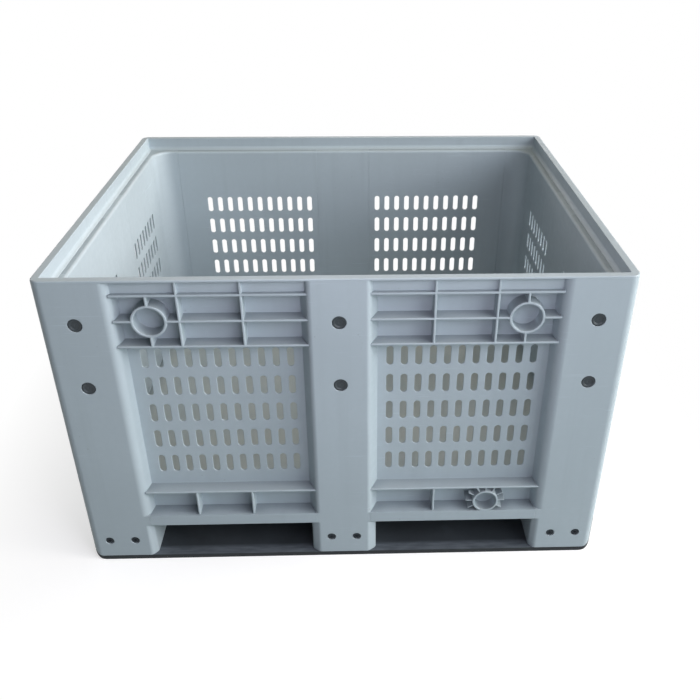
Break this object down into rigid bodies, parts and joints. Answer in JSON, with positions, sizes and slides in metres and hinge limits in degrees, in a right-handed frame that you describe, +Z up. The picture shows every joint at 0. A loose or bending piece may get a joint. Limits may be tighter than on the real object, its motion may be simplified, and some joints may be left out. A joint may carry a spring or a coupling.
{
  "type": "stacking crate",
  "caption": "Pallet-sized stacking crate in vented plastic, with ribbed walls between hollow posts, a raised stacking rim, fork openings and dark runners under its feet.",
  "frame": {"origin": "middle of the box on the ground, under the middle runner", "axes": "+X along the long side, -Y towards the front with the drain boss, +Z up"},
  "size_m": [1.218, 1, 0.755],
  "materials": {
    "box_plastic": "moulded polyethylene with a slight sheen",
    "runner_plastic": "black recycled polyethylene, slightly scuffed",
    "cap_plastic": "dark slate, satin",
    "screw_black": "black oxide, dull",
    "fixing_steel": "zinc plated"
  },
  "bodies": {
    "root": {"centre_foot": "box_plastic", "floor_deck": "box_plastic", "floor_screws": "fixing_steel", "front_left_post": "box_plastic", "front_left_post_bolts": "fixing_steel", "front_left_post_caps": "cap_plastic", "front_left_strip": "box_plastic", "front_panel_left": "box_plastic", "front_panel_right": "box_plastic", "front_post": "box_plastic", "front_post_bolts": "fixing_steel", "front_post_caps": "cap_plastic", "front_right_post": "box_plastic", "front_right_post_bolts": "fixing_steel", "front_right_post_caps": "cap_plastic", "front_right_strip": "box_plastic", "front_runner": "runner_plastic", "front_runner_screws": "screw_black", "front_strip": "box_plastic", "left_panel_front": "box_plastic", "left_panel_rear": "box_plastic", "left_post": "box_plastic", "left_post_bolts": "fixing_steel", "left_post_caps": "cap_plastic", "left_strip": "box_plastic", "middle_runner": "runner_plastic", "middle_runner_screws": "screw_black", "rear_left_post": "box_plastic", "rear_left_post_bolts": "fixing_steel", "rear_left_post_caps": "cap_plastic", "rear_left_strip": "box_plastic", "rear_panel_left": "box_plastic", "rear_panel_right": "box_plastic", "rear_post": "box_plastic", "rear_post_bolts": "fixing_steel", "rear_post_caps": "cap_plastic", "rear_right_post": "box_plastic", "rear_right_post_bolts": "fixing_steel", "rear_right_post_caps": "cap_plastic", "rear_right_strip": "box_plastic", "rear_runner": "runner_plastic", "rear_runner_screws": "screw_black", "rear_strip": "box_plastic", "right_panel_front": "box_plastic", "right_panel_rear": "box_plastic", "right_post": "box_plastic", "right_post_bolts": "fixing_steel", "right_post_caps": "cap_plastic", "right_strip": "box_plastic", "stacking_rim": "box_plastic"}
  },
  "joints": []
}
